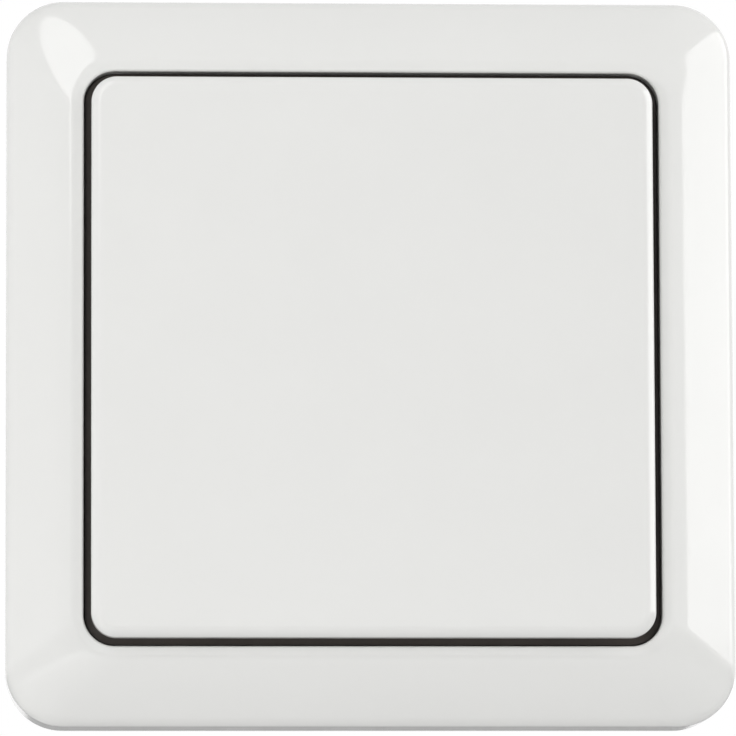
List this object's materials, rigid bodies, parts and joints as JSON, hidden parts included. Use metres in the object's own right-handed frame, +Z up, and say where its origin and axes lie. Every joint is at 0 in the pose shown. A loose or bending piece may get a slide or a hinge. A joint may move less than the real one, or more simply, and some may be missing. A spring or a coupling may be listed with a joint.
{
  "type": "wireless wall switch",
  "caption": "Square surface-mounted wireless light switch: one large self-returning rocker in a sloping frame, over a battery transmitter on a wall plate.",
  "frame": {"origin": "centre of the base plate's back face, on the wall", "axes": "+X to the right and +Z up as seen from the room; +Y into the wall, so the front faces -Y"},
  "size_m": [0.08, 0.015, 0.08],
  "materials": {
    "white_plastic": "gloss",
    "carrier_plastic": "matte",
    "board_laminate": "satin",
    "rod_plastic": "satin",
    "spring_steel": "satin",
    "cell_steel": "satin",
    "contact_brass": "satin",
    "chip_plastic": "matte",
    "resonator_ceramic": "satin",
    "tinned_wire": "satin",
    "lamp_plastic": "gloss",
    "resistor_ceramic": "satin",
    "capacitor_ceramic": "satin",
    "screw_steel": "satin"
  },
  "bodies": {
    "switch_base": {"frame": "white_plastic", "base_plate": "carrier_plastic", "case_cover": "carrier_plastic", "case_tray": "carrier_plastic", "circuit_board": "board_laminate", "upper_return_spring": "spring_steel", "lower_return_spring": "spring_steel", "upper_snap_dome": "spring_steel", "lower_snap_dome": "spring_steel", "coin_cell": "cell_steel", "battery_clip": "spring_steel", "battery_contact": "contact_brass", "transmitter_chip": "chip_plastic", "resonator": "resonator_ceramic", "antenna": "tinned_wire", "indicator_lamp": "lamp_plastic", "chip_resistors": "resistor_ceramic", "chip_capacitors": "capacitor_ceramic", "module_screws": "screw_steel", "case_screws": "screw_steel"},
    "rocker": {"rocker": "white_plastic"},
    "upper_push_rod": {"upper_push_rod": "rod_plastic"},
    "lower_push_rod": {"lower_push_rod": "rod_plastic"}
  },
  "joints": [
    {"name": "rocker_tilt", "type": "hinge", "parent": "switch_base", "child": "rocker", "pos_m": [0, -0.0118, 0], "axis": [1, 0, 0], "range_deg": [-2.5, 2.5], "stiffness_Nm_per_rad": 0.3, "deforming": ["upper_return_spring", "upper_snap_dome", "lower_return_spring", "lower_snap_dome"]},
    {"name": "upper_rod_slide", "type": "slide", "parent": "switch_base", "child": "upper_push_rod", "axis": [0, 1, 0], "range_m": [-0.0008, 0.0008]},
    {"name": "lower_rod_slide", "type": "slide", "parent": "switch_base", "child": "lower_push_rod", "axis": [0, 1, 0], "range_m": [-0.0008, 0.0008]}
  ],
  "couplings": [
    {"joint": "upper_rod_slide", "follows": "rocker_tilt", "m_per_rad": -0.018},
    {"joint": "lower_rod_slide", "follows": "rocker_tilt", "m_per_rad": 0.018}
  ]
}
